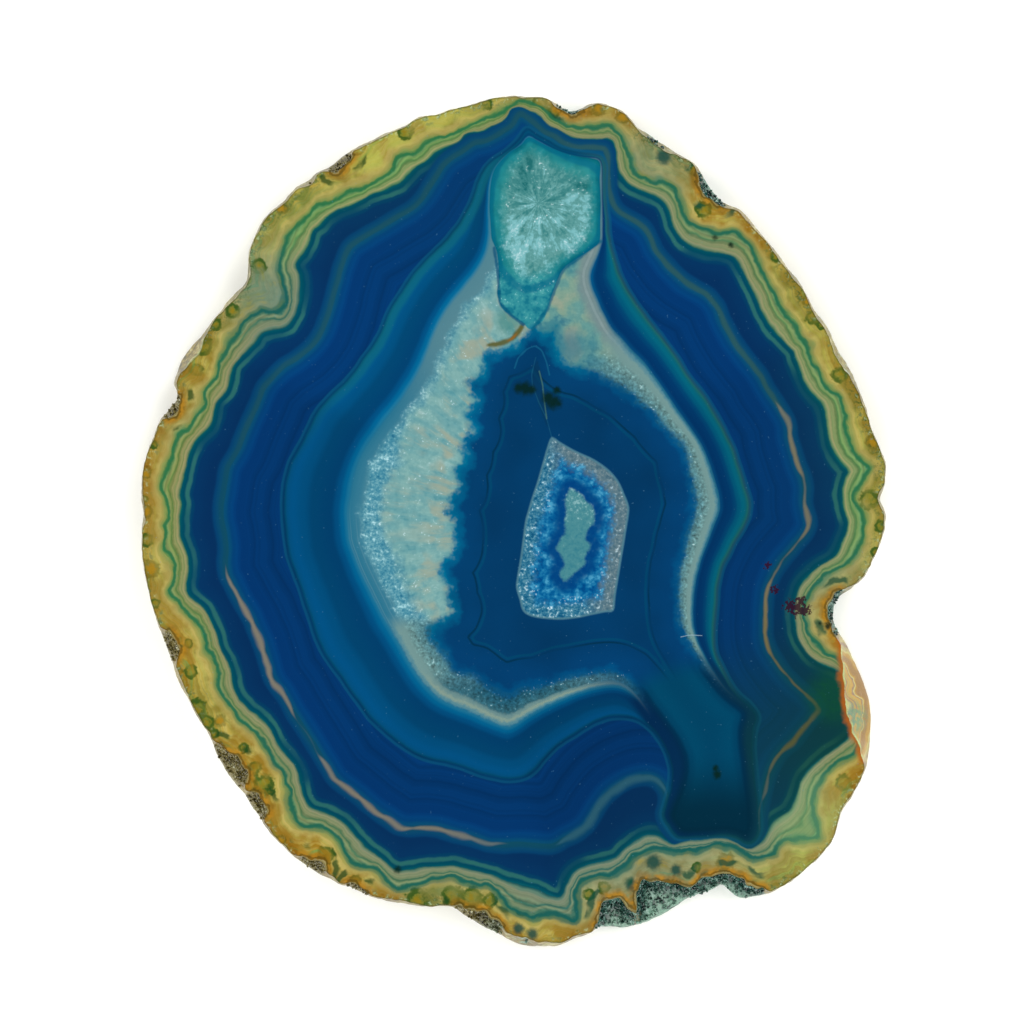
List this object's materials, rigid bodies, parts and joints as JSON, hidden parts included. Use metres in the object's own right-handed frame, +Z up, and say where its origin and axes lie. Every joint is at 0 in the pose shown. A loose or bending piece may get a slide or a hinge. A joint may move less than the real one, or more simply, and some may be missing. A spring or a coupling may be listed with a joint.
{
  "type": "agate slice",
  "caption": "Thin slice of blue banded agate with a natural greenish rim, polished flat on both faces, for lying on a table or shelf.",
  "frame": {"origin": "middle of the slice's box, on the flat face that it rests on", "axes": "+Z up out of the polished face that shows, through the slice's thickness; +Y along its length, to its narrow end; +X to its right as seen from above"},
  "size_m": [0.1094, 0.125, 0.006],
  "materials": {
    "agate": "polished banded agate, dyed blue, with a yellow-green skin at the rim"
  },
  "bodies": {
    "root": {"agate_slice": "agate"}
  },
  "joints": []
}
